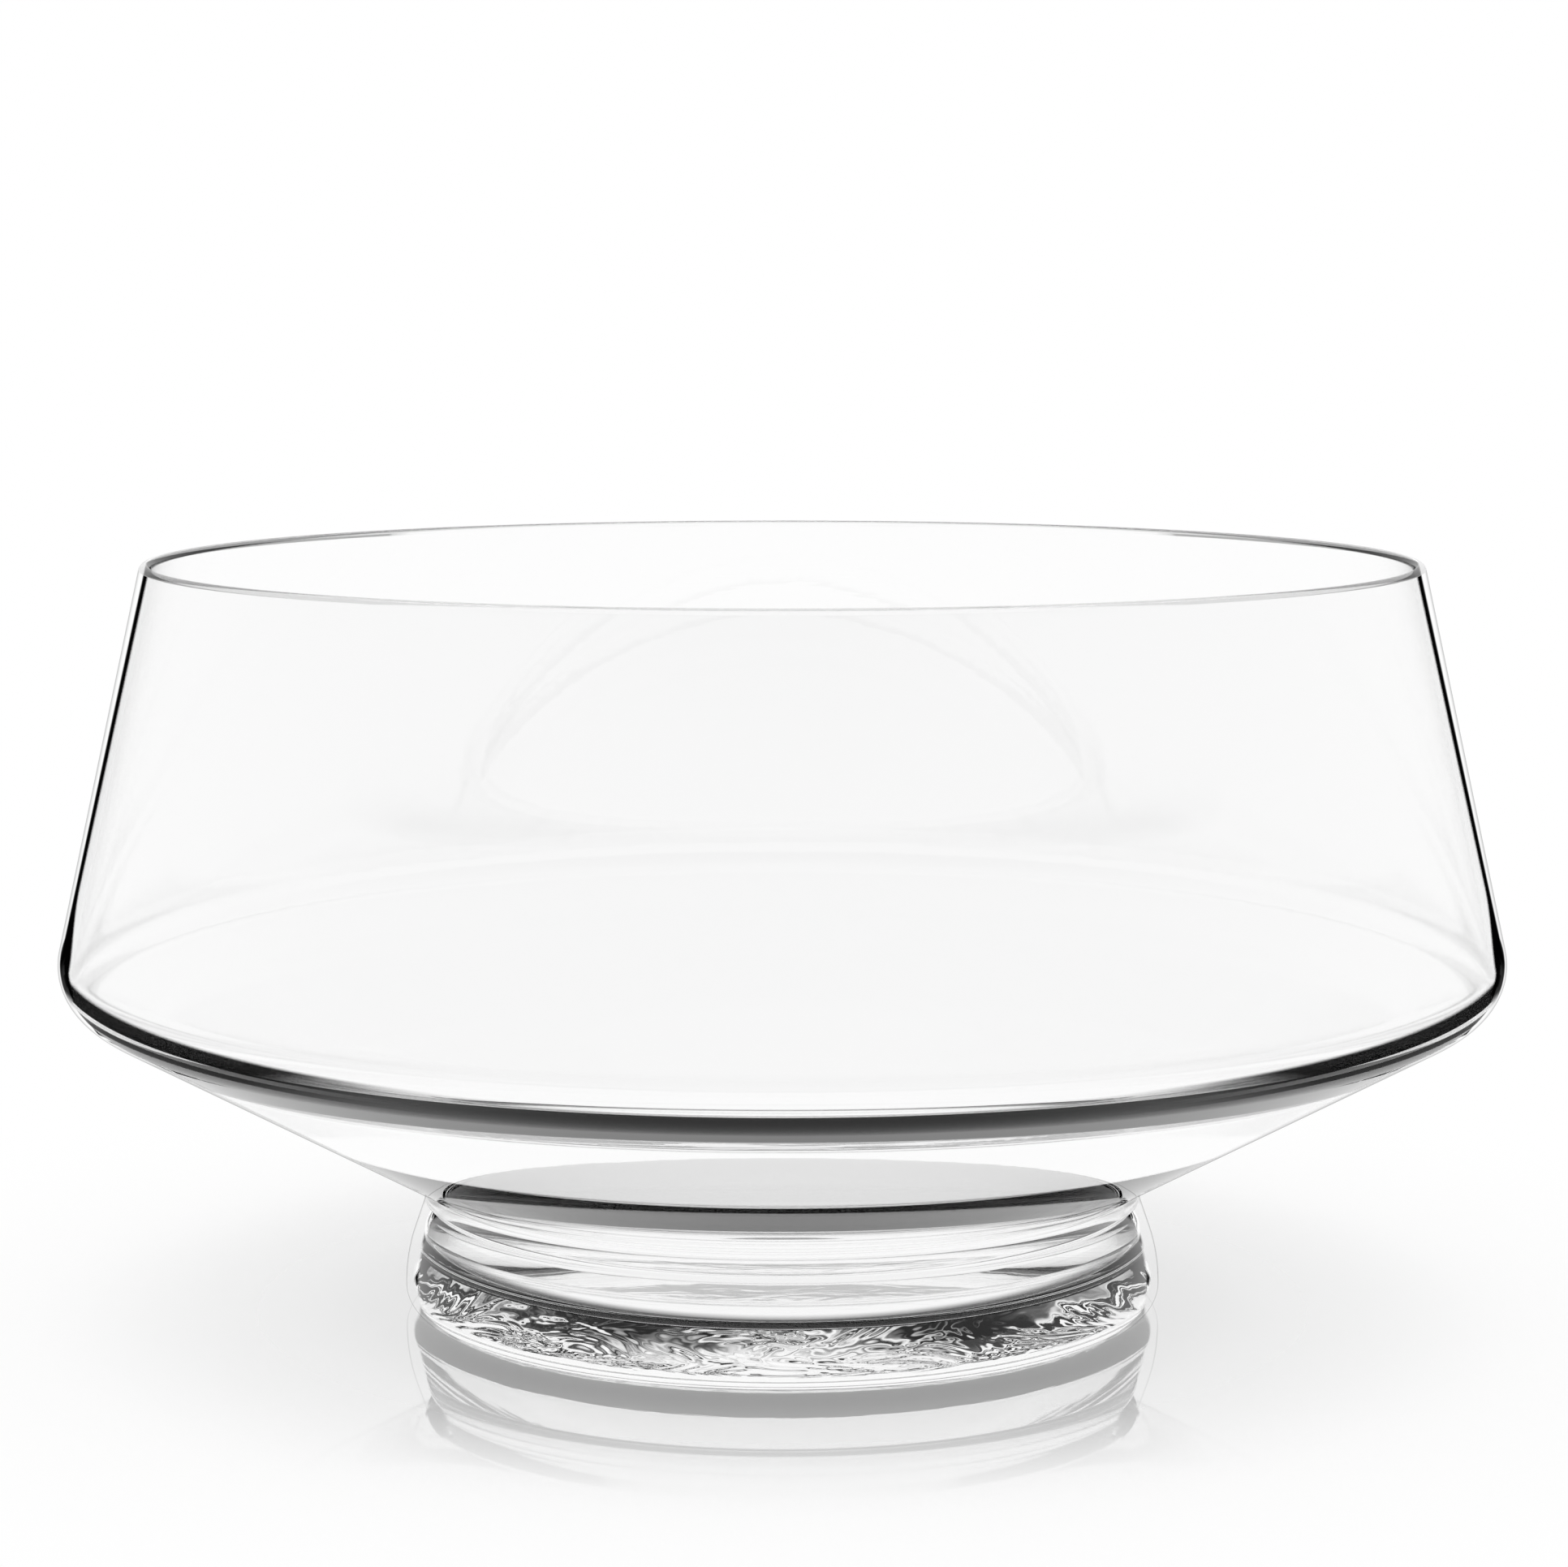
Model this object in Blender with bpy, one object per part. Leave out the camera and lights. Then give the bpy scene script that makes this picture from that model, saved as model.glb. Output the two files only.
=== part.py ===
"""Footed punch bowl in clear glass: a blown bowl, open at both ends, fused at its neck to a heavy foot.

The two pieces are turned about Z. Metres, +Z up, origin on the axis at the table.
"""

import math

import bmesh
import bpy
from mathutils import Matrix

# Outside of the bowl. Radii are from the axis and heights from the table.
HEIGHT = 0.1567
RIM_RADIUS = 0.1322
SHOULDER_RADIUS = 0.1500
SHOULDER_HEIGHT = 0.0751
SHOULDER_FILLET = 0.0115
NECK_RADIUS = 0.0754
NECK_HEIGHT = 0.0230
NECK_FILLET = 0.0060

# Outside of the foot, which spreads this far beyond the neck
FOOT_FLARE = 0.0041
HEEL_HEIGHT = 0.0047
HEEL_CURVE = 0.0324
BASE_CORNER = 0.0045

# Underside: a flat standing ring round a shallow dome
STANDING_RING = 0.0090
RECESS_DEPTH = 0.0007

# Thickness of the glass
RIM_WALL = 0.0026
SHOULDER_WALL = 0.0024
CONE_WALL = 0.0029
NECK_WALL = 0.0037
BASE_THICKNESS = 0.0104

# The cone's wall is drawn thin above the neck and thickens again to it, at these distances out from the neck
THIN_WALL = 0.0020
THIN_REACH = 0.0266
THICK_WALL = 0.0029
THICK_REACH = 0.0150

# Inside of the bowl, and the well that carries it on down into the foot
INNER_SHOULDER_FILLET = 0.0050
NECK_INNER_CURVE = 0.0093
WELL_MOUTH_CURVE = 0.0026
WELL_UNDERCUT = 0.0038
WELL_FILLET = 0.0042

# The fused seam at the neck
SEAM_GAP = 0.0003

# Fineness of the turned surfaces
TURN_STEPS = 72
ARC_STEP = math.radians(13)

UP, DOWN, INWARD = math.radians(90), math.radians(-90), math.radians(180)


def outline(bends, first_heading=None, last_heading=None):
    """Points of a path round a chain of arcs that straight tangents join.

    A bend is (radius from the axis, height, turn): its centre, and its curve, positive where the
    path turns left, negative where it turns right and 0 at a plain corner. The first and last
    bends are arcs only where a heading is given to start or end them.
    """
    straights = []
    for (x0, z0, turn0), (x1, z1, turn1) in zip(bends, bends[1:]):
        apart = math.hypot(x1 - x0, z1 - z0)
        straights.append(math.atan2(z1 - z0, x1 - x0) - math.asin((turn1 - turn0) / apart))
    arrivals = [straights[0] if first_heading is None else first_heading] + straights
    departures = straights + [straights[-1] if last_heading is None else last_heading]

    points = []
    for (x, z, turn), arrive, depart in zip(bends, arrivals, departures):
        sweep = math.remainder(depart - arrive, math.tau)
        if sweep * turn < 0:
            sweep += math.copysign(math.tau, turn)
        pieces = math.ceil(abs(sweep) / ARC_STEP) if turn else 0
        for i in range(pieces + 1):
            heading = arrive + sweep * i / max(pieces, 1)
            points.append((x + turn * math.sin(heading), z - turn * math.cos(heading)))
    return points


def clear_glass(name):
    material = bpy.data.materials.new(name)
    material.use_nodes = True
    shader = material.node_tree.nodes["Principled BSDF"]
    shader.inputs["Base Color"].default_value = (0.97, 0.98, 0.98, 1)
    shader.inputs["Metallic"].default_value = 0
    shader.inputs["Roughness"].default_value = 0.02
    shader.inputs["IOR"].default_value = 1.52
    shader.inputs["Transmission Weight"].default_value = 1
    return material


def turned_piece(name, points, closed, seat_height, material, parent):
    """Turns an outline about Z into a solid whose own origin is on the axis at seat_height."""
    shape = bmesh.new()
    verts = [shape.verts.new((x, 0, z)) for x, z in points]
    ends = zip(verts, verts[1:] + verts[:1]) if closed else zip(verts, verts[1:])
    edges = [shape.edges.new(pair) for pair in ends]
    bmesh.ops.spin(
        shape, geom=verts + edges, cent=(0, 0, 0), axis=(0, 0, 1),
        angle=math.tau, steps=TURN_STEPS, use_merge=True,
    )
    bmesh.ops.remove_doubles(shape, verts=shape.verts, dist=1e-6)
    bmesh.ops.recalc_face_normals(shape, faces=shape.faces)

    mesh = bpy.data.meshes.new(name)
    shape.to_mesh(mesh)
    shape.free()
    mesh.transform(Matrix.Translation((0, 0, -seat_height)))
    mesh.shade_smooth()
    mesh.set_sharp_from_angle(angle=math.radians(40))
    mesh.materials.append(material)

    piece = bpy.data.objects.new(name, mesh)
    piece.location = (0, 0, seat_height)
    piece.parent = parent
    bpy.context.scene.collection.objects.link(piece)
    return piece


def seam_faces():
    """Heights of the foot's top face and of the bowl's lower face, which meet at the waist."""
    return NECK_HEIGHT - SEAM_GAP / 2, NECK_HEIGHT + SEAM_GAP / 2


def cone_inside(radius, depth):
    """Height at a radius of the line that runs this deep into the glass from the cone's outer face."""
    across = SHOULDER_RADIUS - SHOULDER_FILLET - NECK_RADIUS - NECK_FILLET
    rise = SHOULDER_HEIGHT - NECK_HEIGHT
    slope = math.atan2(rise, across) - math.asin((SHOULDER_FILLET + NECK_FILLET) / math.hypot(across, rise))
    return (
        NECK_HEIGHT
        + (radius - NECK_RADIUS - NECK_FILLET) * math.tan(slope)
        + (NECK_FILLET + depth) / math.cos(slope)
    )


def add_bowl(material, parent):
    seat = seam_faces()[1]
    bore = NECK_RADIUS - NECK_WALL
    rim_round = RIM_WALL / 2
    thick = NECK_RADIUS + THICK_REACH
    thin = NECK_RADIUS + THIN_REACH
    inner_shoulder = SHOULDER_RADIUS - SHOULDER_WALL - INNER_SHOULDER_FILLET
    inner_shoulder_height = cone_inside(inner_shoulder, CONE_WALL + INNER_SHOULDER_FILLET)
    points = outline(
        [
            (bore + NECK_INNER_CURVE, seat, -NECK_INNER_CURVE),
            (thick, cone_inside(thick, THICK_WALL), 0),
            (thin, cone_inside(thin, THIN_WALL), 0),
            (inner_shoulder, inner_shoulder_height, INNER_SHOULDER_FILLET),
            (RIM_RADIUS - rim_round, HEIGHT - rim_round, -rim_round),
            (SHOULDER_RADIUS - SHOULDER_FILLET, SHOULDER_HEIGHT, -SHOULDER_FILLET),
            (NECK_RADIUS + NECK_FILLET, seat, NECK_FILLET),
        ],
        first_heading=UP,
        last_heading=DOWN,
    )
    return turned_piece("bowl", points, True, seat, material, parent)


def add_foot(material, parent):
    top = seam_faces()[0]
    bore = NECK_RADIUS - NECK_WALL
    well_radius = bore + WELL_UNDERCUT
    well_floor = RECESS_DEPTH + BASE_THICKNESS
    well = outline(
        [
            (0, well_floor, 0),
            (well_radius - WELL_FILLET, well_floor + WELL_FILLET, WELL_FILLET),
            (bore + WELL_MOUTH_CURVE, top, -WELL_MOUTH_CURVE),
        ],
        last_heading=UP,
    )
    foot_radius = NECK_RADIUS + FOOT_FLARE
    ring_inside = foot_radius - BASE_CORNER - STANDING_RING
    dome_curve = (ring_inside**2 + RECESS_DEPTH**2) / (2 * RECESS_DEPTH)
    outside = outline(
        [
            (NECK_RADIUS + NECK_FILLET, top, NECK_FILLET),
            (foot_radius - HEEL_CURVE, HEEL_HEIGHT, -HEEL_CURVE),
            (foot_radius - BASE_CORNER, BASE_CORNER, -BASE_CORNER),
            (ring_inside, 0, 0),
            (0, RECESS_DEPTH - dome_curve, dome_curve),
        ],
        first_heading=DOWN,
        last_heading=INWARD,
    )
    return turned_piece("foot", well + outside, False, 0, material, parent)


def main():
    for old in list(bpy.data.objects):
        bpy.data.objects.remove(old)
    vessel = bpy.data.objects.new("punch_bowl", None)
    bpy.context.scene.collection.objects.link(vessel)
    add_foot(clear_glass("foot_glass"), vessel)
    add_bowl(clear_glass("bowl_glass"), vessel)


main()
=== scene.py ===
"""Dresses the footed punch bowl in clear glass and sets it on a white studio table.

Metres, +Z up. The bowl and the foot are turned about Z, and meet at the neck with no gap to be seen.
"""

import math

import bpy
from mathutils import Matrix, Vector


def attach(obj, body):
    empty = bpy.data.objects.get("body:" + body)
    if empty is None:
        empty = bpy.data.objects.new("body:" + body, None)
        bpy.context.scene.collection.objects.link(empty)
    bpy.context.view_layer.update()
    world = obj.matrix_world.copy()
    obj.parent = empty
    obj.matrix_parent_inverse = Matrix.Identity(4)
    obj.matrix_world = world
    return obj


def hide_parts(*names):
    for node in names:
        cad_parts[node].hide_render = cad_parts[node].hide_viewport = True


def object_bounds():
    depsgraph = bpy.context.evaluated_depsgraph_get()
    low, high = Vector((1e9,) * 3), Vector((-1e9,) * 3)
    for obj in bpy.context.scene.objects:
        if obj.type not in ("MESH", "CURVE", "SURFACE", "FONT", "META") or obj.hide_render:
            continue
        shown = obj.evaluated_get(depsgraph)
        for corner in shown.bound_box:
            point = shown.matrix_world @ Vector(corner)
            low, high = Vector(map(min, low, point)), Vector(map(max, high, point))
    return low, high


bl_info = {
    "name": "Footed Punch Bowl",
    "version": (1, 0, 0),
    "blender": (4, 5, 0),
    "location": "View3D > Sidebar > Punch Bowl",
    "description": "Models a blown glass punch bowl on a heavy foot, and the studio that it is seen in",
    "category": "Object",
}

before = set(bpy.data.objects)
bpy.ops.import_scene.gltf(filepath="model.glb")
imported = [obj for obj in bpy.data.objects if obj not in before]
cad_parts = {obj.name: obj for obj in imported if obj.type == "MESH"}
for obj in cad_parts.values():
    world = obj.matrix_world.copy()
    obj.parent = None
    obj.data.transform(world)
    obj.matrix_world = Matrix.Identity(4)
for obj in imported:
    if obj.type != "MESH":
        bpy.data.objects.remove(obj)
CAD_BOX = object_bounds()

UP, DOWN, INWARD = math.radians(90), math.radians(-90), math.radians(180)

# Fineness of the turned glass. An arc starts and ends with a finer step, at most this share of a full one.
TURN_STEPS = 240
ARC_STEP = math.radians(2.5)
END_STEP = math.radians(0.2)
END_SHARE = 0.2
MERGE = 0.000008
SHARP_ANGLE = math.radians(35)

# How upright the normals of the seam and of the underside are, and the fillets below the shoulder at which
# the wall's glass gives way to the cone's
SEAM_FLAT = 0.99
UNDERSIDE_FLAT = 0.9
WALL_REACH = 1.2

# Waves to the metre that spinning leaves, across the axis and along it
STRIAE = (9, 9, 260)

# Edges of the glass, by facing: where the painted grey outline starts and is full, and how soft the margins
# are
OUTLINE = (0.90, 0.98)
MARGIN_SOFT = 0.02
LINE_SOFT = 0.01
# Colour of the painted shade in the grey outline
OUTLINE_SHADE_COLOUR = (0.75, 0.75, 0.75, 1)
# Colour of the painted shade in the wall's line and round the curve under the shoulder
PAINTED_SHADE_COLOUR = (0.03, 0.03, 0.03, 1)

# The line of painted shade inside the wall's edge. It widens towards the shoulder, and stops below it. Here
# and in what follows, a pair is where something starts and where it is full.
LINE_WIDENS_BY = 0.06
LINE_WIDENS = (-1.6, -0.1)
LINE_STOPS = (0.0, 0.3)
LINE_FADES = (0.1, 0.4)

# The painted shade lines round the curve under the shoulder, by how far the curve has turned from the viewer
TURN_BY_FACING = 0.6
TURN_BY_DEPTH = 0.7
SHADE_TOP = (0.15, 0.22)
SHADE_END = (0.70, 0.76)
FRONT_BAND = (-0.47, -0.40)
UPPER_LINE = (-0.075, -0.060)
LOWER_LINE = (-0.29, -0.26)
LOWER_LINE_END = (-0.165, -0.150)
LINE_SHADE = 0.98
LOWER_SHADE = 0.85

# The middle of the front, where those painted shade lines run together, and the darkest painted shade in it
MIDDLE_BY_DEPTH = 0.8
MIDDLE = (0.85, 1.05)
HEART = (0.98, 1.14)
FRONT_SHADE = 0.1
HEART_SHADE = 0.3

# The studio: the gap between the foot and the table, the soft edge of the shade under the foot, and the
# directions along Y between which the room turns from its front to its back
TABLE_DROP = 0.0002
RING_SOFT = 0.003
TURN_OF_ROOM = (-0.6, -0.2)

# The camera at the photograph's viewpoint, with its lens and sensor in millimetres
LENS = 93.17
SENSOR = 36
CAMERA_PLACE = (0.00034, -0.8422, 0.21415)
CAMERA_DIP = 0.1237


def length(label, default, about):
    return bpy.props.FloatProperty(name=label, description=about, default=default, unit="LENGTH", precision=5)


def angle(label, degrees, about):
    default = math.radians(degrees)
    return bpy.props.FloatProperty(name=label, description=about, default=default, subtype="ANGLE")


def amount(label, default, about):
    return bpy.props.FloatProperty(name=label, description=about, default=default, precision=4)


class BowlSizes(bpy.types.PropertyGroup):
    height: length("Height", CAD_BOX[1][2], "Height of the rim above the table")
    rim_radius: length("Rim radius", 0.1322, "Outer radius at the rim")
    shoulder_radius: length("Shoulder radius", CAD_BOX[1][0], "Widest outer radius")
    shoulder_height: length("Shoulder height", 0.0751, "Height of the widest part")
    shoulder_fillet: length("Shoulder fillet", 0.0115, "Curve of the shoulder's outside")
    neck_radius: length("Neck radius", 0.0754, "Outer radius at the waist where the bowl meets the foot")
    neck_height: length("Neck height", 0.0230, "Height of the waist")
    neck_fillet: length("Neck fillet", 0.0060, "Curve of the waist's outside")
    rim_wall: length("Rim wall", 0.0026, "Thickness of the fire-polished rim")
    shoulder_wall: length("Shoulder wall", 0.0024, "Thickness of the wall at the shoulder")
    cone_wall: length("Cone wall", 0.0027, "Thickness of the cone where it leaves the shoulder")
    swell_wall: length("Swell wall", 0.0036, "Thickness where the cone is thickest below the shoulder")
    swell_reach: length("Swell reach", 0.0190, "How far in from the shoulder the cone is thickest")
    thin_wall: length("Thin wall", 0.0020, "Thickness where the cone is drawn thinnest")
    thin_reach: length("Thin reach", 0.0266, "How far out from the neck the cone is thinnest")
    thick_wall: length("Thick wall", 0.0029, "Thickness where the cone thickens to the neck")
    thick_reach: length("Thick reach", 0.0156, "How far out from the neck the cone thickens")
    draw_curve: length("Draw curve", 0.0300, "Curve of the inside where its thickness changes")
    neck_wall: length("Neck wall", 0.0037, "Thickness at the waist")
    shoulder_inner_fillet: length("Inner shoulder fillet", 0.0050, "Curve of the shoulder's inside")
    neck_inner_curve: length("Inner neck curve", 0.0093, "Curve of the inside above the waist")


class FootSizes(bpy.types.PropertyGroup):
    flare: length("Flare", 0.0041, "How far the foot spreads beyond the neck")
    heel_height: length("Heel height", 0.0047, "Height of the foot's widest part")
    heel_curve: length("Heel curve", 0.0324, "Curve of the foot's side")
    base_corner: length("Base corner", 0.0045, "Curve at the foot of the side")
    standing_ring: length("Standing ring", 0.0090, "Width of the flat ring that the foot stands on")
    recess_depth: length("Recess depth", 0.0007, "Depth of the shallow dome inside the ring")
    base_thickness: length("Base thickness", 0.0104, "Thickness of the glass under the well")
    well_mouth_curve: length("Well mouth curve", 0.0026, "Curve of the well's inside below the waist")
    well_undercut: length("Well undercut", 0.0038, "How far the well widens below the waist")
    well_fillet: length("Well fillet", 0.0042, "Curve where the well's side meets its floor")


class GlassLook(bpy.types.PropertyGroup):
    tint: bpy.props.FloatVectorProperty(
        name="Tint",
        description="Colour of the glass",
        default=(0.985, 0.985, 0.985),
        subtype="COLOR",
        min=0,
        max=1,
    )
    ior: amount("Index", 1.52, "Index of refraction of soda-lime glass")
    striae: length("Striae", 0.000004, "Height of the faint waves that spinning leaves in the wall")
    ripple: length("Ripple", 0.00016, "Height of the chilled ripples on the underside")
    ripple_spacing: length("Ripple spacing", 0.0180, "Distance from ripple to ripple")
    wall_margin: amount("Wall margin", 0.090, "Width of the shoulder's edge that is seen straight through")
    wall_taper: amount("Wall taper", 0.0065, "How much that widens for each shoulder fillet up the wall")
    # The wall's line is painted shade inside the edge
    wall_shade_line: amount("Wall line", 0.042, "Width of the dark line along the inside of the wall's edge")
    rim_clear: amount("Clear rim", 0.55, "How far the rim is seen straight through")
    cone_margin: amount("Cone margin", 0.05, "Width of the cone's edge that is seen straight through")
    foot_margin: amount("Foot margin", 0.26, "Width of the foot's edge that is seen straight through")


class StudioSet(bpy.types.PropertyGroup):
    table_radius: length("Table radius", 0.33, "Radius of the round table top")
    foot_edge: length("Foot edge", 0.080, "Radius beside the foot, from which the table's finish changes")
    # Less white beside the foot than in the open deepens the real shadow there with painted shade
    near_white: amount("White beside the foot", 0.64, "How far the table is plain white beside the foot")
    open_white: amount("White in the open", 0.80, "How far the table is plain white out in the open")
    open_from: length("Open from", 0.105, "Radius from which the table lies in the open")
    polish: amount("Polish", 0.6, "How far the table mirrors the foot")
    polish_to: length("Polish to", 0.160, "Radius at which that mirror has faded out")
    fade_from: length("Fade from", 0.120, "Radius at which the table starts to fade into the room")
    fade_to: length("Fade to", 0.260, "Radius from which the table is as white as the room")
    # The ring is a painted shadow under the foot, which only light through the glass meets
    ring_from: length("Ring from", 0.058, "Radius at which the shade under the foot starts")
    ring_full: length("Ring full", 0.068, "Radius from which the foot shuts out the light")
    ring_to: length("Ring to", 0.0785, "Radius at which the shade under the foot ends")
    gap_from: angle("Gap from", 17, "Elevation at which the dark gap above the white panels starts")
    gap_from_soft: angle("Gap's lower edge", 2, "Softness of the gap's lower edge")
    gap_to: angle("Gap to", 25, "Elevation at which the overhead light starts")
    gap_to_soft: angle("Gap's upper edge", 5, "Softness of the gap's upper edge")
    gap_front: amount("Gap in front", 0.35, "How far the gap is dark in the front of the studio")
    dark: amount("Dark", 0.02, "Brightness of the gap between the panels and the overhead light")
    dome: amount("Dome", 1.2, "Light that falls on the table")
    gloss: amount("Gloss", 0.15, "Brightness of the front of the studio, which the glass mirrors")


class Wire:
    """A socket in a node tree. Arithmetic on wires adds Math nodes to the tree."""

    def __init__(self, tree, socket=None):
        self.tree = tree
        self.socket = socket

    def add(self, kind, settings=None, values=None, output=0):
        """Adds a node, sets its settings and then its sockets, and gives the wire of one output."""
        node = self.tree.nodes.new(kind)
        for name, setting in (settings or {}).items():
            setattr(node, name, setting)
        for name, value in (values or {}).items():
            if isinstance(value, Wire):
                self.tree.links.new(value.socket, node.inputs[name])
            else:
                node.inputs[name].default_value = value
        return Wire(self.tree, node.outputs[output])

    def math(self, operation, *terms):
        return self.add("ShaderNodeMath", {"operation": operation}, dict(enumerate(terms)))

    def __add__(self, other):
        return self.math("ADD", self, other)

    def __radd__(self, other):
        return self.math("ADD", other, self)

    def __sub__(self, other):
        return self.math("SUBTRACT", self, other)

    def __rsub__(self, other):
        return self.math("SUBTRACT", other, self)

    def __mul__(self, other):
        return self.math("MULTIPLY", self, other)

    def __rmul__(self, other):
        return self.math("MULTIPLY", other, self)

    def rise(self, low, high):
        """0 below low, 1 above high and smooth between."""
        return self.add(
            "ShaderNodeMapRange",
            {"interpolation_type": "SMOOTHSTEP"},
            {"Value": self, "From Min": low, "From Max": high},
        )

    def blend(self, share, other):
        """This shader with a share of another mixed in."""
        return self.add("ShaderNodeMixShader", None, {0: share, 1: self, 2: other})

    def to(self, socket):
        self.tree.links.new(self.socket, socket)


def outline(bends, first_heading=None, last_heading=None):
    """Points of a path round a chain of arcs that straight tangents join.

    A bend is (radius from the axis, height, turn): its centre, and its curve, positive where the
    path turns left, negative where it turns right and 0 at a plain corner. The first and last
    bends are arcs only where a heading is given to start or end them.
    """
    straights = []
    for (x0, z0, turn0), (x1, z1, turn1) in zip(bends, bends[1:]):
        apart = math.hypot(x1 - x0, z1 - z0)
        straights.append(math.atan2(z1 - z0, x1 - x0) - math.asin((turn1 - turn0) / apart))
    arrivals = [straights[0] if first_heading is None else first_heading] + straights
    departures = straights + [straights[-1] if last_heading is None else last_heading]

    points = []
    for (x, z, turn), arrive, depart in zip(bends, arrivals, departures):
        sweep = math.remainder(depart - arrive, math.tau)
        if sweep * turn < 0:
            sweep += math.copysign(math.tau, turn)
        steps = math.ceil(abs(sweep) / ARC_STEP) if turn else 0
        shares = [i / max(steps, 1) for i in range(steps + 1)]
        if steps:
            fine = min(END_STEP / abs(sweep), END_SHARE / steps)
            shares = [0, fine] + shares[1:-1] + [1 - fine, 1]
        for share in shares:
            heading = arrive + sweep * share
            points.append((x + turn * math.sin(heading), z - turn * math.cos(heading)))
    return points


def deselect_all():
    if bpy.context.object and bpy.context.object.mode != "OBJECT":
        bpy.ops.object.mode_set(mode="OBJECT")
    bpy.ops.object.select_all(action="DESELECT")


def turned_glass(name, points):
    """Draws an outline as a chain of extruded points, spins it about Z and closes it."""
    deselect_all()
    bpy.ops.mesh.primitive_plane_add(size=0.01)
    piece = bpy.context.object
    piece.name = name
    bpy.ops.object.mode_set(mode="EDIT")
    bpy.ops.mesh.select_all(action="SELECT")
    bpy.ops.mesh.merge(type="CENTER")
    bpy.ops.transform.translate(value=(points[0][0], 0, points[0][1]))
    for (x0, z0), (x1, z1) in zip(points, points[1:]):
        bpy.ops.mesh.extrude_vertices_move(TRANSFORM_OT_translate={"value": (x1 - x0, 0, z1 - z0)})
    bpy.ops.mesh.select_all(action="SELECT")
    bpy.ops.mesh.spin(steps=TURN_STEPS, angle=math.tau, center=(0, 0, 0), axis=(0, 0, 1))
    bpy.ops.mesh.select_all(action="SELECT")
    bpy.ops.mesh.remove_doubles(threshold=MERGE)
    bpy.ops.mesh.normals_make_consistent(inside=False)
    bpy.ops.object.mode_set(mode="OBJECT")
    bpy.ops.object.shade_smooth_by_angle(angle=SHARP_ANGLE)
    return piece


def finish_faces(piece, slots, choose):
    """Gives the piece its materials, and each face the one that choose names from its centre and normal."""
    names = list(slots)
    for name in names:
        bpy.ops.object.material_slot_add()
        piece.material_slots[-1].material = slots[name]
    for face in piece.data.polygons:
        face.material_index = names.index(choose(face.center, face.normal))


def outward(centre, normal):
    """How far a face's normal points away from the axis."""
    return (normal.x * centre.x + normal.y * centre.y) / math.hypot(centre.x, centre.y)


def cone_slope(bowl):
    across = bowl.shoulder_radius - bowl.shoulder_fillet - bowl.neck_radius - bowl.neck_fillet
    rise = bowl.shoulder_height - bowl.neck_height
    turns = (bowl.shoulder_fillet + bowl.neck_fillet) / math.hypot(across, rise)
    return math.atan2(rise, across) - math.asin(turns)


def cone_inside(bowl, radius, depth):
    """Height at a radius of the line that runs this deep into the glass from the cone's outer face."""
    slope = cone_slope(bowl)
    out = radius - bowl.neck_radius - bowl.neck_fillet
    return bowl.neck_height + out * math.tan(slope) + (bowl.neck_fillet + depth) / math.cos(slope)


def bowl_outline(bowl):
    bore = bowl.neck_radius - bowl.neck_wall
    rim_round = bowl.rim_wall / 2
    slope = cone_slope(bowl)
    thick = bowl.neck_radius + bowl.thick_reach
    thin = bowl.neck_radius + bowl.thin_reach
    thick_height = cone_inside(bowl, thick, bowl.thick_wall)
    thin_height = cone_inside(bowl, thin, bowl.thin_wall)
    swell = bowl.shoulder_radius - bowl.swell_reach
    swell_height = cone_inside(bowl, swell, bowl.swell_wall)
    shelf = math.atan2(thin_height - thick_height, thin - thick)
    middle = (slope + shelf) / 2
    curve = bowl.draw_curve
    inner_fillet = bowl.shoulder_inner_fillet
    inner_shoulder = bowl.shoulder_radius - bowl.shoulder_wall - inner_fillet
    points = outline(
        [
            (bore + bowl.neck_inner_curve, bowl.neck_height, -bowl.neck_inner_curve),
            (thick + curve * math.sin(shelf), thick_height - curve * math.cos(shelf), -curve),
            (thin - curve * math.sin(middle), thin_height + curve * math.cos(middle), curve),
            (swell + curve * math.sin(slope), swell_height - curve * math.cos(slope), -curve),
            (inner_shoulder, cone_inside(bowl, inner_shoulder, bowl.cone_wall + inner_fillet), inner_fillet),
            (bowl.rim_radius - rim_round, bowl.height - rim_round, -rim_round),
            (bowl.shoulder_radius - bowl.shoulder_fillet, bowl.shoulder_height, -bowl.shoulder_fillet),
            (bowl.neck_radius + bowl.neck_fillet, bowl.neck_height, bowl.neck_fillet),
        ],
        first_heading=UP,
        last_heading=DOWN,
    )
    return points + points[:1]


def foot_outline(bowl, foot):
    bore = bowl.neck_radius - bowl.neck_wall
    well_radius = bore + foot.well_undercut
    well_floor = foot.recess_depth + foot.base_thickness
    well = outline(
        [
            (0, well_floor, 0),
            (well_radius - foot.well_fillet, well_floor + foot.well_fillet, foot.well_fillet),
            (bore + foot.well_mouth_curve, bowl.neck_height, -foot.well_mouth_curve),
        ],
        last_heading=UP,
    )
    foot_radius = bowl.neck_radius + foot.flare
    ring_inside = foot_radius - foot.base_corner - foot.standing_ring
    dome_curve = (ring_inside**2 + foot.recess_depth**2) / (2 * foot.recess_depth)
    outside = outline(
        [
            (bowl.neck_radius + bowl.neck_fillet, bowl.neck_height, bowl.neck_fillet),
            (foot_radius - foot.heel_curve, foot.heel_height, -foot.heel_curve),
            (foot_radius - foot.base_corner, foot.base_corner, -foot.base_corner),
            (ring_inside, 0, 0),
            (0, foot.recess_depth - dome_curve, dome_curve),
        ],
        first_heading=DOWN,
        last_heading=INWARD,
    )
    return well + outside


def new_material(name):
    """A node material with only a Principled shader. Gives the material, its shader and its first wire."""
    material = bpy.data.materials.new(name)
    material.use_nodes = True
    return material, material.node_tree.nodes["Principled BSDF"], Wire(material.node_tree)


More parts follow.
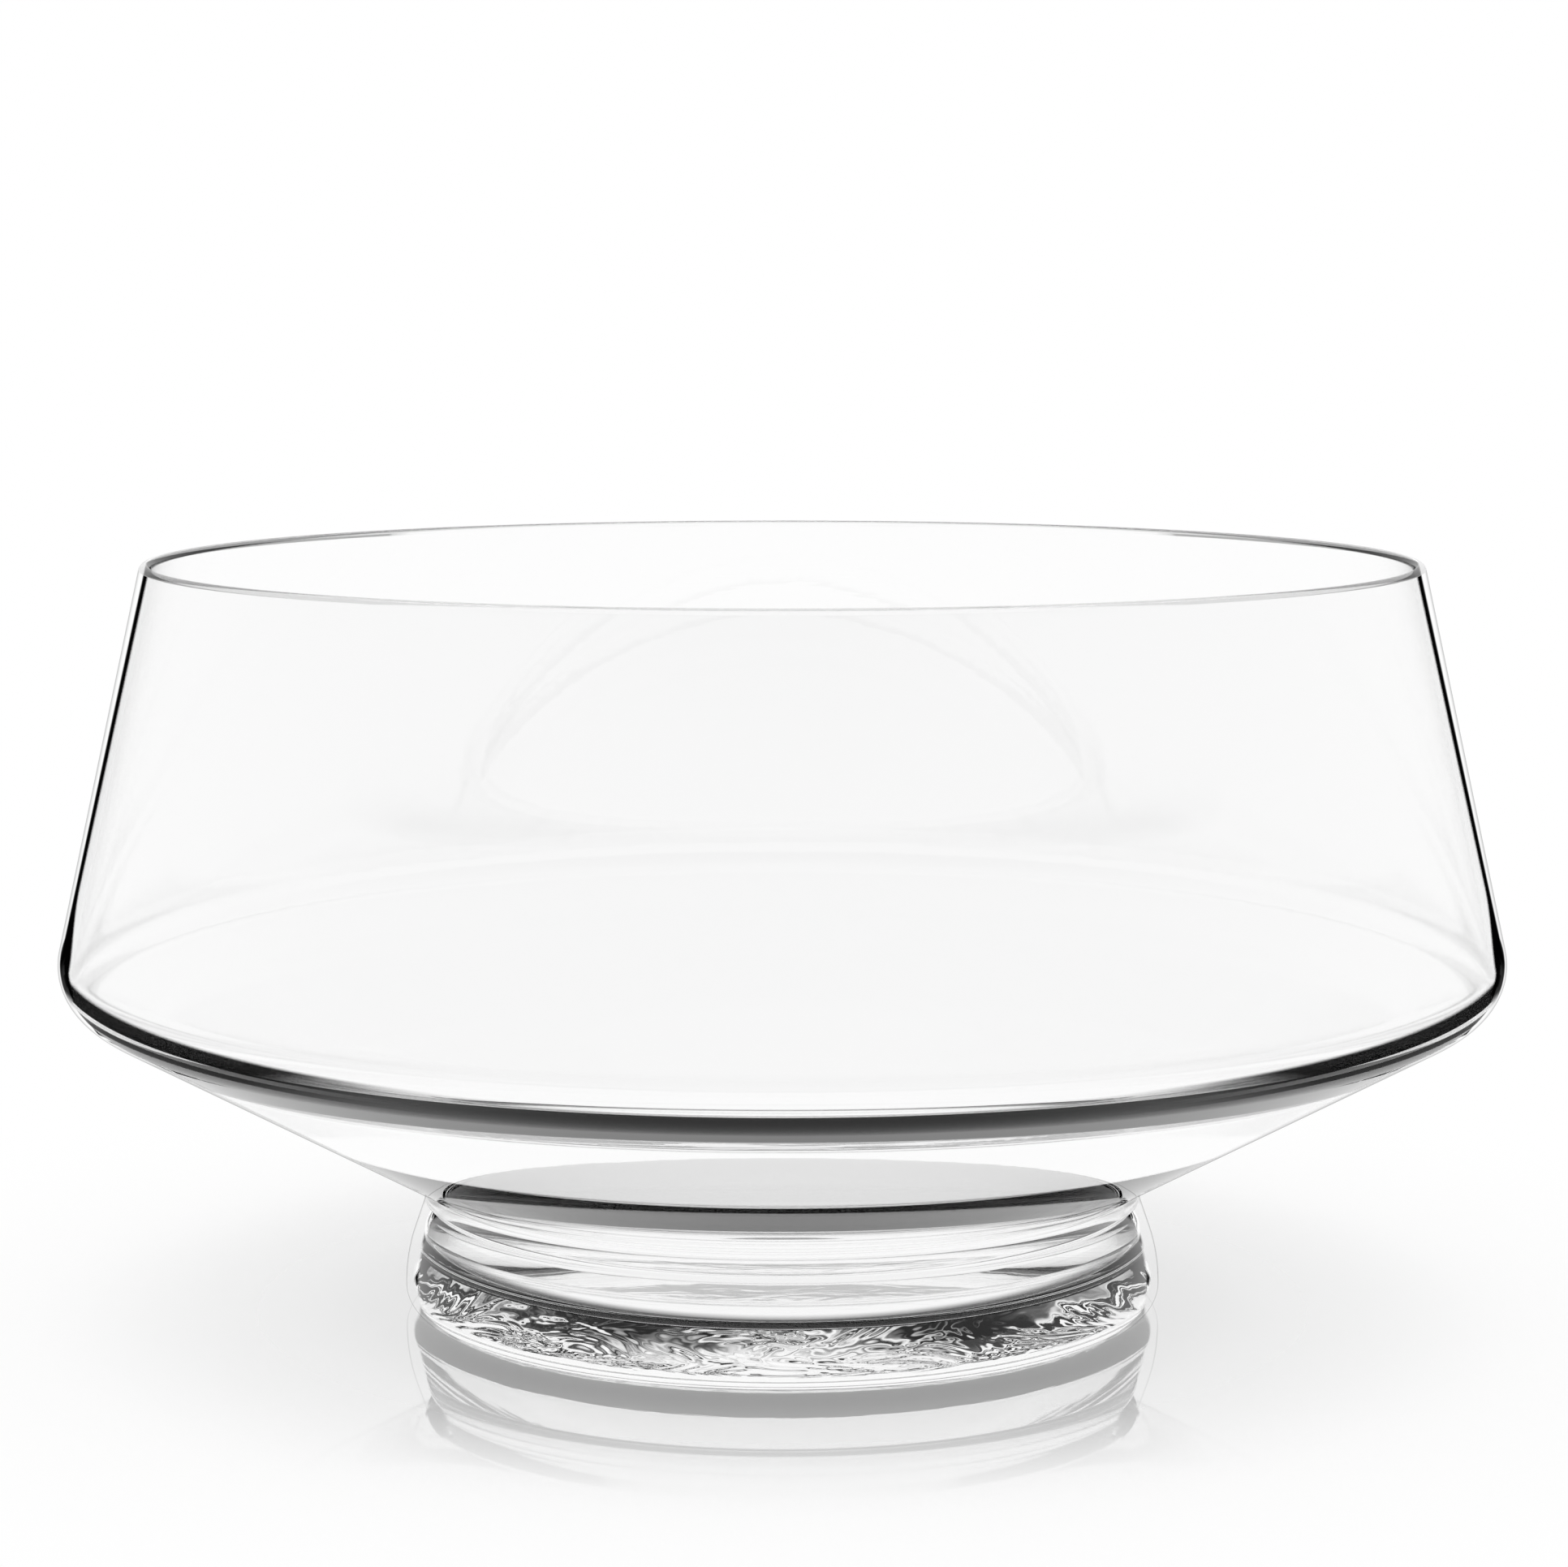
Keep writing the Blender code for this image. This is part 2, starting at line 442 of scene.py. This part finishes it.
def set_surface(material, wire):
    wire.to(material.node_tree.nodes["Material Output"].inputs["Surface"])


def set_glass(shader, look):
    shader.inputs["Base Color"].default_value = (*look.tint, 1)
    shader.inputs["Roughness"].default_value = 0
    shader.inputs["IOR"].default_value = look.ior
    shader.inputs["Transmission Weight"].default_value = 1


def set_bump(shader, height, distance):
    values = {"Height": height, "Distance": distance, "Strength": 1}
    height.add("ShaderNodeBump", None, values, "Normal").to(shader.inputs["Normal"])


def spun_glass(name, look):
    """Clear glass with faint waves that run round it. Gives the material, its first wire and its shader's."""
    material, shader, wire = new_material(name)
    set_glass(shader, look)
    place = wire.add("ShaderNodeTexCoord", output="Object")
    drawn = wire.add("ShaderNodeMapping", None, {"Vector": place, "Scale": STRIAE})
    waves = wire.add("ShaderNodeTexNoise", None, {"Vector": drawn, "Scale": 1, "Detail": 3, "Roughness": 0.6})
    set_bump(shader, waves, look.striae)
    return material, wire, Wire(wire.tree, shader.outputs[0])


def wall_glass(look):
    """Glass of the inside of the bowl and of the well."""
    return spun_glass("wall_glass", look)[0]


def shoulder_shade(facing, low):
    """How black the curve under the shoulder is painted, where low counts shoulder fillets down from the
    shoulder.

    At the sides this painted shade is an upper and a lower line, and in the middle of the front one band.
    """
    toward = 1 - facing
    turned = TURN_BY_FACING * toward - TURN_BY_DEPTH * low
    across = toward + MIDDLE_BY_DEPTH * low
    middle = across.rise(*MIDDLE)
    front = turned.rise(*FRONT_BAND) * middle * (FRONT_SHADE + HEART_SHADE * across.rise(*HEART))
    upper = turned.rise(*UPPER_LINE)
    lower = turned.rise(*LOWER_LINE) * (1 - turned.rise(*LOWER_LINE_END)) * LOWER_SHADE
    shaded = (1 - turned.rise(*SHADE_TOP)) * (1 - toward.rise(*SHADE_END))
    return shaded * (front + (upper + lower) * (1 - middle) * LINE_SHADE)


def outer_glass(name, look, margin, bowl=None):
    """Glass of an outside. Its edge is seen straight through, inside a grey outline of painted shade.

    The bowl's wall also has a line of painted shade inside its edge, which runs on round the curve under the
    shoulder.
    """
    material, wire, glass = spun_glass(name, look)
    facing = wire.add("ShaderNodeLayerWeight", None, {"Blend": 0.5}, "Facing")
    clear = wire.add("ShaderNodeBsdfTransparent")
    # Painted shade: a grey outline round the glass's silhouette
    outline_shade = wire.add("ShaderNodeBsdfTransparent", None, {"Color": OUTLINE_SHADE_COLOUR})
    edge = clear.blend(facing.rise(*OUTLINE), outline_shade)
    edge_from = 1 - margin
    at_edge = facing.rise(edge_from - MARGIN_SOFT, edge_from + MARGIN_SOFT)
    if bowl:
        # Painted shade for the line inside the wall's edge and for the curve under the shoulder
        dark = wire.add("ShaderNodeBsdfTransparent", None, {"Color": PAINTED_SHADE_COLOUR})
        place = wire.add("ShaderNodeTexCoord", output="Object")
        height = wire.add("ShaderNodeSeparateXYZ", None, {0: place}, "Z")
        low = (bowl.shoulder_height - height) * (1 / bowl.shoulder_fillet)
        tapered = facing - look.wall_taper * low
        beyond_line = tapered.rise(edge_from - LINE_SOFT, edge_from + LINE_SOFT)
        edge = edge.blend((1 - beyond_line) * (1 - low.rise(*LINE_FADES)), dark)
        # Painted shade lines round the curve under the shoulder
        glass = glass.blend(shoulder_shade(facing, low), dark)
        widened = tapered + LINE_WIDENS_BY * low.rise(*LINE_WIDENS) * (1 - low.rise(*LINE_STOPS))
        line_from = edge_from - look.wall_shade_line
        at_edge = widened.rise(line_from - LINE_SOFT, line_from + LINE_SOFT)
    set_surface(material, glass.blend(at_edge, edge))
    return material


def rim_glass(look):
    """Glass of the fire-polished rim, too thin to look as dark as the wall's edges."""
    material, wire, glass = spun_glass("rim_glass", look)
    clear = wire.add("ShaderNodeBsdfTransparent")
    set_surface(material, glass.blend(look.rim_clear, clear))
    return material


def rippled_glass(look):
    """Glass of the underside, which the mould chilled into swirling ripples."""
    material, shader, wire = new_material("rippled_glass")
    set_glass(shader, look)
    place = wire.add("ShaderNodeTexCoord", output="Object")
    ripples = wire.add(
        "ShaderNodeTexNoise",
        None,
        {"Vector": place, "Scale": 1 / look.ripple_spacing, "Detail": 2, "Roughness": 0.5, "Distortion": 1.6},
    )
    set_bump(shader, ripples, look.ripple)
    return material


def seam_glass():
    """The fused seam, where nothing is to be seen."""
    material, _, wire = new_material("seam_glass")
    set_surface(material, wire.add("ShaderNodeBsdfTransparent"))
    return material


class PUNCHBOWL_OT_bowl(bpy.types.Operator):
    """Turn the blown bowl, from its rim down to the waist"""

    bl_idname = "punchbowl.bowl"
    bl_label = "Blown bowl"

    def execute(self, context):
        sizes = context.scene.punchbowl_bowl
        look = context.scene.punchbowl_glass
        piece = turned_glass("blown_bowl", bowl_outline(sizes))
        wall_end = sizes.shoulder_height - WALL_REACH * sizes.shoulder_fillet

        def choose(centre, normal):
            if normal.z < -SEAM_FLAT and abs(centre.z - sizes.neck_height) < MERGE:
                return "seam"
            if centre.z > sizes.height - sizes.rim_wall / 2:
                return "rim"
            if outward(centre, normal) < 0:
                return "inside"
            return "wall" if centre.z > wall_end else "cone"

        finish_faces(
            piece,
            {
                "wall": outer_glass("bowl_wall", look, look.wall_margin, sizes),
                "cone": outer_glass("bowl_cone", look, look.cone_margin),
                "rim": rim_glass(look),
                "inside": wall_glass(look),
                "seam": seam_glass(),
            },
            choose,
        )
        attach(piece, "root")
        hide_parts("bowl")
        return {"FINISHED"}


class PUNCHBOWL_OT_foot(bpy.types.Operator):
    """Turn the heavy foot, with the well that carries the bowl's inside on down"""

    bl_idname = "punchbowl.foot"
    bl_label = "Heavy foot"

    def execute(self, context):
        bowl = context.scene.punchbowl_bowl
        sizes = context.scene.punchbowl_foot
        look = context.scene.punchbowl_glass
        piece = turned_glass("heavy_foot", foot_outline(bowl, sizes))
        ring_outside = bowl.neck_radius + sizes.flare - sizes.base_corner

        def choose(centre, normal):
            if normal.z > SEAM_FLAT and abs(centre.z - bowl.neck_height) < MERGE:
                return "seam"
            if normal.z < -UNDERSIDE_FLAT and math.hypot(centre.x, centre.y) < ring_outside:
                return "underside"
            return "side" if outward(centre, normal) > 0 else "well"

        finish_faces(
            piece,
            {
                "side": outer_glass("foot_side", look, look.foot_margin),
                "well": wall_glass(look),
                "underside": rippled_glass(look),
                "seam": seam_glass(),
            },
            choose,
        )
        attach(piece, "root")
        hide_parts("foot")
        return {"FINISHED"}


def echo(wire):
    """1 for light that the far side of the bowl mirrors, which stays bright so that the walls look plain."""
    passed = wire.add("ShaderNodeLightPath", output="Transmission Depth")
    mirrored = wire.add("ShaderNodeLightPath", output="Glossy Depth")
    return passed.rise(3, 4) * mirrored.rise(0, 1)


def add_table(studio):
    """The table. The camera sees its partly painted shadow and its polish; the glass sees white round a
    painted shadow ring.
    """
    deselect_all()
    bpy.ops.mesh.primitive_circle_add(
        radius=studio.table_radius, vertices=128, fill_type="NGON", location=(0, 0, -TABLE_DROP)
    )
    table = bpy.context.object
    table.name = "table"
    bpy.ops.object.transform_apply(location=True, rotation=True, scale=True)
    material, _, wire = new_material("white_table")
    place = wire.add("ShaderNodeTexCoord", output="Object")
    radius = wire.add("ShaderNodeVectorMath", {"operation": "LENGTH"}, {0: place}, "Value")
    white = wire.add("ShaderNodeEmission", None, {"Strength": 1})
    # Painted shadow: the ring under the foot, as light through the glass sees it
    shadow = wire.add("ShaderNodeEmission", None, {"Strength": 0.01})
    lit = wire.add("ShaderNodeBsdfDiffuse", None, {"Color": (0.9, 0.9, 0.9, 1)})
    mirror = wire.add("ShaderNodeBsdfGlossy", None, {"Roughness": 0.03})

    # Beside the foot less white is mixed in, so the real shadow shows deeper there: real shadow with painted
    # shade
    in_open = radius.rise(studio.foot_edge, studio.open_from)
    top = lit.blend(studio.near_white + (studio.open_white - studio.near_white) * in_open, white)
    top = top.blend(studio.polish * (1 - radius.rise(studio.foot_edge, studio.polish_to)), mirror)
    top = top.blend(radius.rise(studio.fade_from, studio.fade_to), white)
    top = top.blend(wire.add("ShaderNodeLightPath", output="Is Glossy Ray"), white)

    # A painted shadow ring under the foot, for light that comes through the glass
    past_ring = radius.rise(studio.ring_to, studio.ring_to + RING_SOFT)
    ring = radius.rise(studio.ring_from, studio.ring_full) * (1 - past_ring)
    through_glass = white.blend(ring * (1 - echo(wire)), shadow)
    top = top.blend(wire.add("ShaderNodeLightPath", output="Is Transmission Ray"), through_glass)
    set_surface(material, top)
    table.data.materials.append(material)


def add_room(studio):
    """The white room. Camera rays see plain white, and the glass sees a dark gap under the overhead light."""
    world = bpy.data.worlds.new("white_room")
    bpy.context.scene.world = world
    world.use_nodes = True
    wire = Wire(world.node_tree)
    toward = wire.add("ShaderNodeTexCoord", output="Generated")
    north = wire.add("ShaderNodeSeparateXYZ", None, {0: toward}, "Y")
    up = wire.add("ShaderNodeSeparateXYZ", None, {0: toward}, "Z")
    elevation = wire.math("ARCSINE", up)
    above = elevation.rise(studio.gap_from - studio.gap_from_soft, studio.gap_from + studio.gap_from_soft)
    overhead = elevation.rise(studio.gap_to - studio.gap_to_soft, studio.gap_to + studio.gap_to_soft)
    depth = studio.gap_front + (1 - studio.gap_front) * north.rise(*TURN_OF_ROOM)
    through = 1 - (1 - studio.dark) * above * (1 - overhead) * depth * (1 - echo(wire))

    transmitted = wire.add("ShaderNodeLightPath", output="Is Transmission Ray")
    diffuse = wire.add("ShaderNodeLightPath", output="Is Diffuse Ray")
    direct = wire.add("ShaderNodeLightPath", output="Is Camera Ray")
    mirrored = studio.gloss + (1 - studio.gloss) * north.rise(-1, 1)
    strength = transmitted * through + (1 - transmitted) * mirrored
    strength = diffuse * studio.dome + (1 - diffuse) * strength
    strength = direct + (1 - direct) * strength
    background = world.node_tree.nodes["Background"]
    background.inputs["Color"].default_value = (1, 1, 1, 1)
    strength.to(background.inputs["Strength"])


def add_camera():
    camera = bpy.data.cameras.new("camera")
    camera.sensor_width = SENSOR
    camera.sensor_fit = "HORIZONTAL"
    camera.lens = LENS
    camera.clip_start = 0.01
    viewpoint = bpy.data.objects.new("camera", camera)
    viewpoint.location = CAMERA_PLACE
    viewpoint.rotation_euler = (math.pi / 2 - CAMERA_DIP, 0, 0)
    bpy.context.scene.collection.objects.link(viewpoint)
    bpy.context.scene.camera = viewpoint


class PUNCHBOWL_OT_stage(bpy.types.Operator):
    """Set up the white table, the studio round it and the camera"""

    bl_idname = "punchbowl.stage"
    bl_label = "Stage"

    def execute(self, context):
        studio = context.scene.punchbowl_studio
        add_table(studio)
        add_room(studio)
        add_camera()
        context.scene.view_settings.view_transform = "Standard"
        return {"FINISHED"}


class PUNCHBOWL_PT_panel(bpy.types.Panel):
    """Lists the pieces of the bowl and the stage"""

    bl_label = "Punch Bowl"
    bl_idname = "PUNCHBOWL_PT_panel"
    bl_space_type = "VIEW_3D"
    bl_region_type = "UI"
    bl_category = "Punch Bowl"

    def draw(self, context):
        for piece in PIECES:
            self.layout.operator(piece.bl_idname)
        for group in SETTINGS:
            for name in SETTINGS[group].__annotations__:
                self.layout.prop(getattr(context.scene, group), name)


PIECES = (PUNCHBOWL_OT_bowl, PUNCHBOWL_OT_foot, PUNCHBOWL_OT_stage)
SETTINGS = {
    "punchbowl_bowl": BowlSizes,
    "punchbowl_foot": FootSizes,
    "punchbowl_glass": GlassLook,
    "punchbowl_studio": StudioSet,
}


def register():
    for group, sizes in SETTINGS.items():
        bpy.utils.register_class(sizes)
        setattr(bpy.types.Scene, group, bpy.props.PointerProperty(type=sizes))
    for piece in PIECES:
        bpy.utils.register_class(piece)
    bpy.utils.register_class(PUNCHBOWL_PT_panel)


def unregister():
    bpy.utils.unregister_class(PUNCHBOWL_PT_panel)
    for piece in reversed(PIECES):
        bpy.utils.unregister_class(piece)
    for group, sizes in SETTINGS.items():
        delattr(bpy.types.Scene, group)
        bpy.utils.unregister_class(sizes)


def main():
    register()
    bpy.ops.punchbowl.stage()
    bpy.ops.punchbowl.foot()
    bpy.ops.punchbowl.bowl()


if __name__ == "__main__":
    main()
